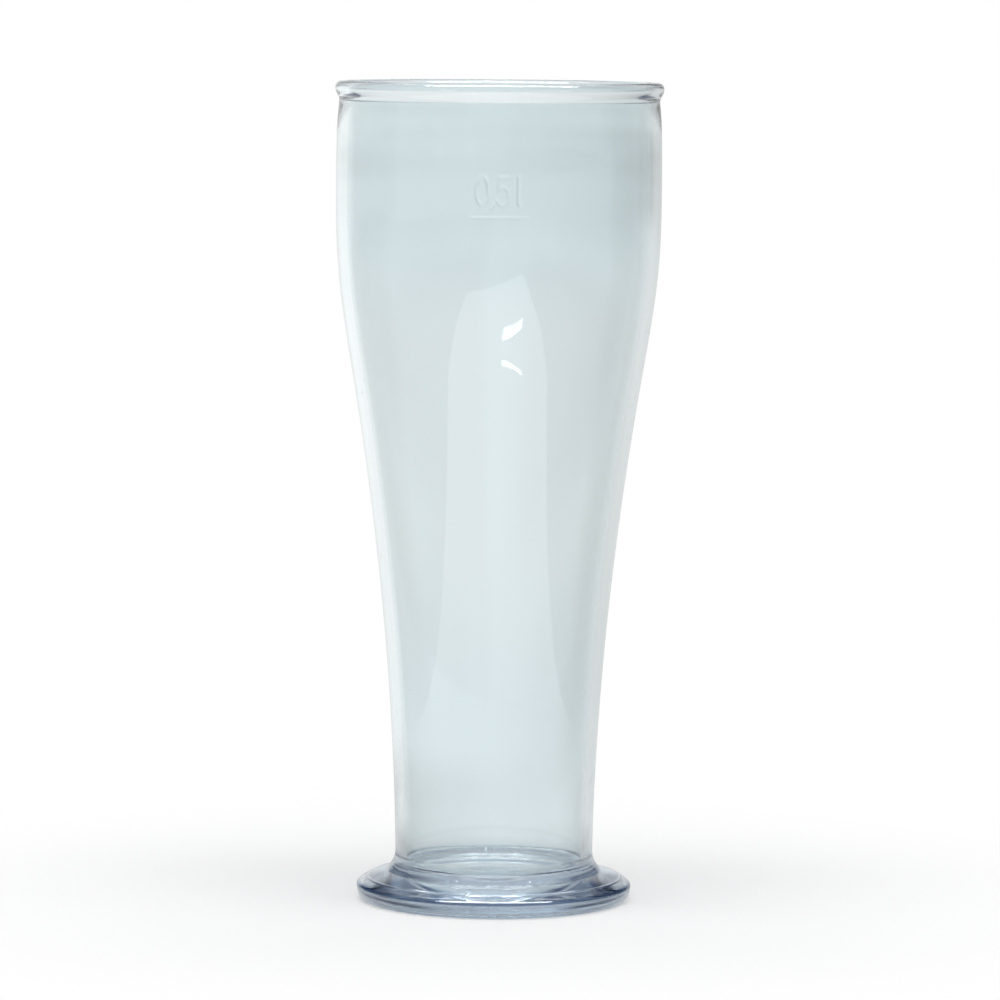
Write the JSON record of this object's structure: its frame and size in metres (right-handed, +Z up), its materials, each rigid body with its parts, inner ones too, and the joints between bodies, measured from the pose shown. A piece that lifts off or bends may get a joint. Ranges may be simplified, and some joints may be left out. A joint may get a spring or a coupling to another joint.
{
  "type": "wheat beer glass",
  "caption": "Tall clear plastic wheat beer glass with a rounded rim, barrelled mouth, long taper to a narrow shank and a domed disc foot; half-litre fill mark.",
  "frame": {"origin": "centre of the standing ring, on the table", "axes": "+Z up along the axis of the glass, -Y towards the viewer and the fill mark, +X to the viewer's right"},
  "size_m": [0.0852, 0.0852, 0.2135],
  "materials": {
    "bowl_clear": "gloss",
    "foot_clear": "gloss",
    "weld_clear": "satin"
  },
  "bodies": {
    "root": {"bowl": "bowl_clear", "foot": "foot_clear", "weld_ring": "weld_clear"}
  },
  "joints": []
}
